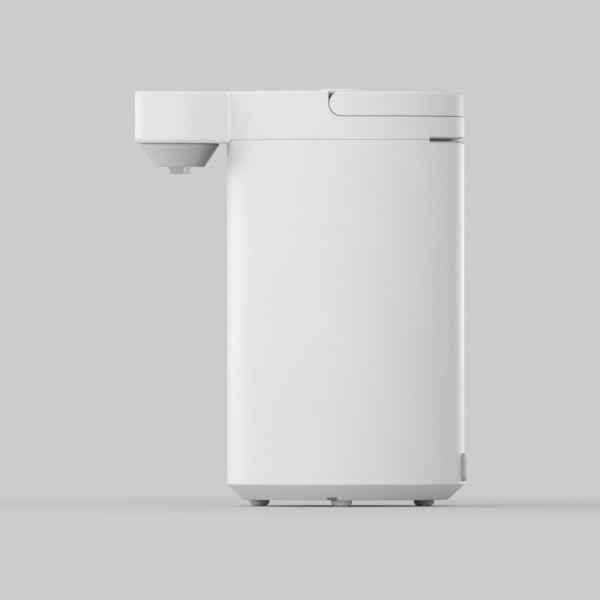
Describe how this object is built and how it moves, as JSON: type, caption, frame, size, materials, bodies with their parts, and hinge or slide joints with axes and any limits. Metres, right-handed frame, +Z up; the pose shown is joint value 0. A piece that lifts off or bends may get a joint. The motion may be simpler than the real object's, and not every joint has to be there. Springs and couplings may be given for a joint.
{
  "type": "hot water dispenser",
  "caption": "Tall round white hot water dispenser with a spout arm, nozzle cone, swing-up carry handle, hinged lid with a push release bar, tapered base and rear power inlet.",
  "frame": {"origin": "on the table, on the plane of symmetry, midway between the front of the spout arm and the face of the rear power inlet", "axes": "+Z up; the spout arm points to -Y; +X to the right seen from the front arm's tip facing +Y"},
  "size_m": [0.205, 0.2868, 0.36],
  "materials": {
    "white_plastic": "satin moulded",
    "base_plastic": "satin moulded",
    "nozzle_plastic": "satin moulded, light grey",
    "button_plastic": "smooth",
    "panel_glass": "gloss black touch panel",
    "chrome": "polished",
    "pot_steel": "drawn and brushed",
    "pin_steel": "turned",
    "brass": "plated contact",
    "silicone": "translucent white silicone",
    "foot_rubber": "light grey rubber",
    "inlet_plastic": "grey moulded",
    "inner_plastic": "dark moulded",
    "felt": "insulation felt",
    "board": "circuit board",
    "aluminium": "die cast"
  },
  "bodies": {
    "dispenser": {"outer_shell": "white_plastic", "top_housing": "white_plastic", "nozzle_cone": "nozzle_plastic", "nozzle_tip": "chrome", "control_panel": "panel_glass", "control_board": "board", "base_cover": "base_plastic", "feet": "foot_rubber", "base_screws": "pin_steel", "power_inlet": "inlet_plastic", "inlet_contacts": "brass", "handle_pins": "pin_steel", "lid_hinge_pin": "pin_steel", "inner_pot": "pot_steel", "pot_bottom": "pot_steel", "pot_seal_ring": "silicone", "insulation_jacket": "felt", "pot_cradle": "inner_plastic", "heater_plate": "aluminium", "thermostat": "inner_plastic", "pump_housing": "inner_plastic", "pump_cover": "inner_plastic", "pump_motor": "pot_steel", "suction_hose": "silicone", "outlet_tube": "silicone", "power_board": "board"},
    "handle": {"carry_handle": "white_plastic"},
    "lid": {"lid_cover": "white_plastic", "lid_inner_plate": "pot_steel", "lid_gasket": "silicone", "steam_vent_cap": "base_plastic", "release_springs": "pin_steel"},
    "release_bar": {"lid_release_bar": "button_plastic"},
    "latch": {"lid_latch": "inner_plastic"},
    "impeller": {"pump_impeller": "inner_plastic", "motor_shaft": "pin_steel"}
  },
  "joints": [
    {"name": "handle_swing", "type": "hinge", "parent": "dispenser", "child": "handle", "pos_m": [0, 0.03495, 0.34705], "axis": [1, 0, 0], "range_deg": [0, 90]},
    {"name": "lid_open", "type": "hinge", "parent": "dispenser", "child": "lid", "pos_m": [0, 0.1147, 0.353], "axis": [-1, 0, 0], "range_deg": [0, 90]},
    {"name": "release_press", "type": "slide", "parent": "lid", "child": "release_bar", "axis": [0, 0, -1], "range_m": [0, 0.003], "stiffness_N_per_m": 600, "springref_m": -0.002, "deforming": ["release_springs"]},
    {"name": "latch_draw", "type": "slide", "parent": "lid", "child": "latch", "axis": [0, 1, 0], "range_m": [0, 0.003]},
    {"name": "impeller_spin", "type": "hinge", "parent": "dispenser", "child": "impeller", "pos_m": [0, -0.0213, 0.05], "axis": [0, 0, 1], "continuous": true}
  ],
  "couplings": [
    {"joint": "latch_draw", "follows": "release_press", "ratio": 1}
  ]
}
